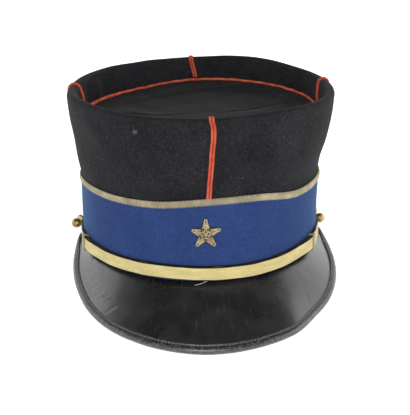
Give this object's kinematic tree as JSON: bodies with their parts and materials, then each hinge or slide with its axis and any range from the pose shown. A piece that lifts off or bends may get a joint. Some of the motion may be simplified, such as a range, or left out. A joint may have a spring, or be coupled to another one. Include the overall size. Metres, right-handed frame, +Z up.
{
  "type": "kepi cap",
  "caption": "Kepi cap with a flared wool crown, sunk top, contrast band, piping, star badge, chin strap and a curved glossy peak.",
  "frame": {"origin": "centre of the bounding box's bottom face, on the surface the cap rests on", "axes": "+Z up; the peak points toward -Y; +X is the wearer's left; left and right in node names are as seen from the front, so left is -X"},
  "size_m": [0.1874, 0.256, 0.1424],
  "materials": {
    "crown": "near-black wool broadcloth, matte, fine fuzz and lint",
    "top_disc": "near-black wool broadcloth, matte",
    "band": "dark blue wool broadcloth, matte",
    "band_braid": "tarnished metal lace braid, dull silver-gold weave",
    "piping_front": "red two-ridge soutache braid",
    "piping_back": "red two-ridge soutache braid",
    "piping_left": "red two-ridge soutache braid",
    "piping_right": "red two-ridge soutache braid",
    "disc_piping": "red twisted cord",
    "peak": "black patent leather, glossy with fine scratches",
    "peak_binding": "black leather edging, stitched, semi-gloss",
    "strap_under": "pale gold metal lace on thin black leather",
    "strap_over": "pale gold metal lace on thin black leather",
    "slide_left": "pale gold lace loop",
    "slide_right": "pale gold lace loop",
    "button_left": "polished brass, lightly tarnished",
    "button_right": "polished brass, lightly tarnished",
    "star": "gold bullion thread embroidery"
  },
  "bodies": {
    "root": {"crown": "crown", "top_disc": "top_disc", "band": "band", "band_braid": "band_braid", "piping_front": "piping_front", "piping_back": "piping_back", "piping_left": "piping_left", "piping_right": "piping_right", "disc_piping": "disc_piping", "peak": "peak", "peak_binding": "peak_binding", "strap_under": "strap_under", "strap_over": "strap_over", "slide_left": "slide_left", "slide_right": "slide_right", "button_left": "button_left", "button_right": "button_right", "star": "star"}
  },
  "joints": []
}
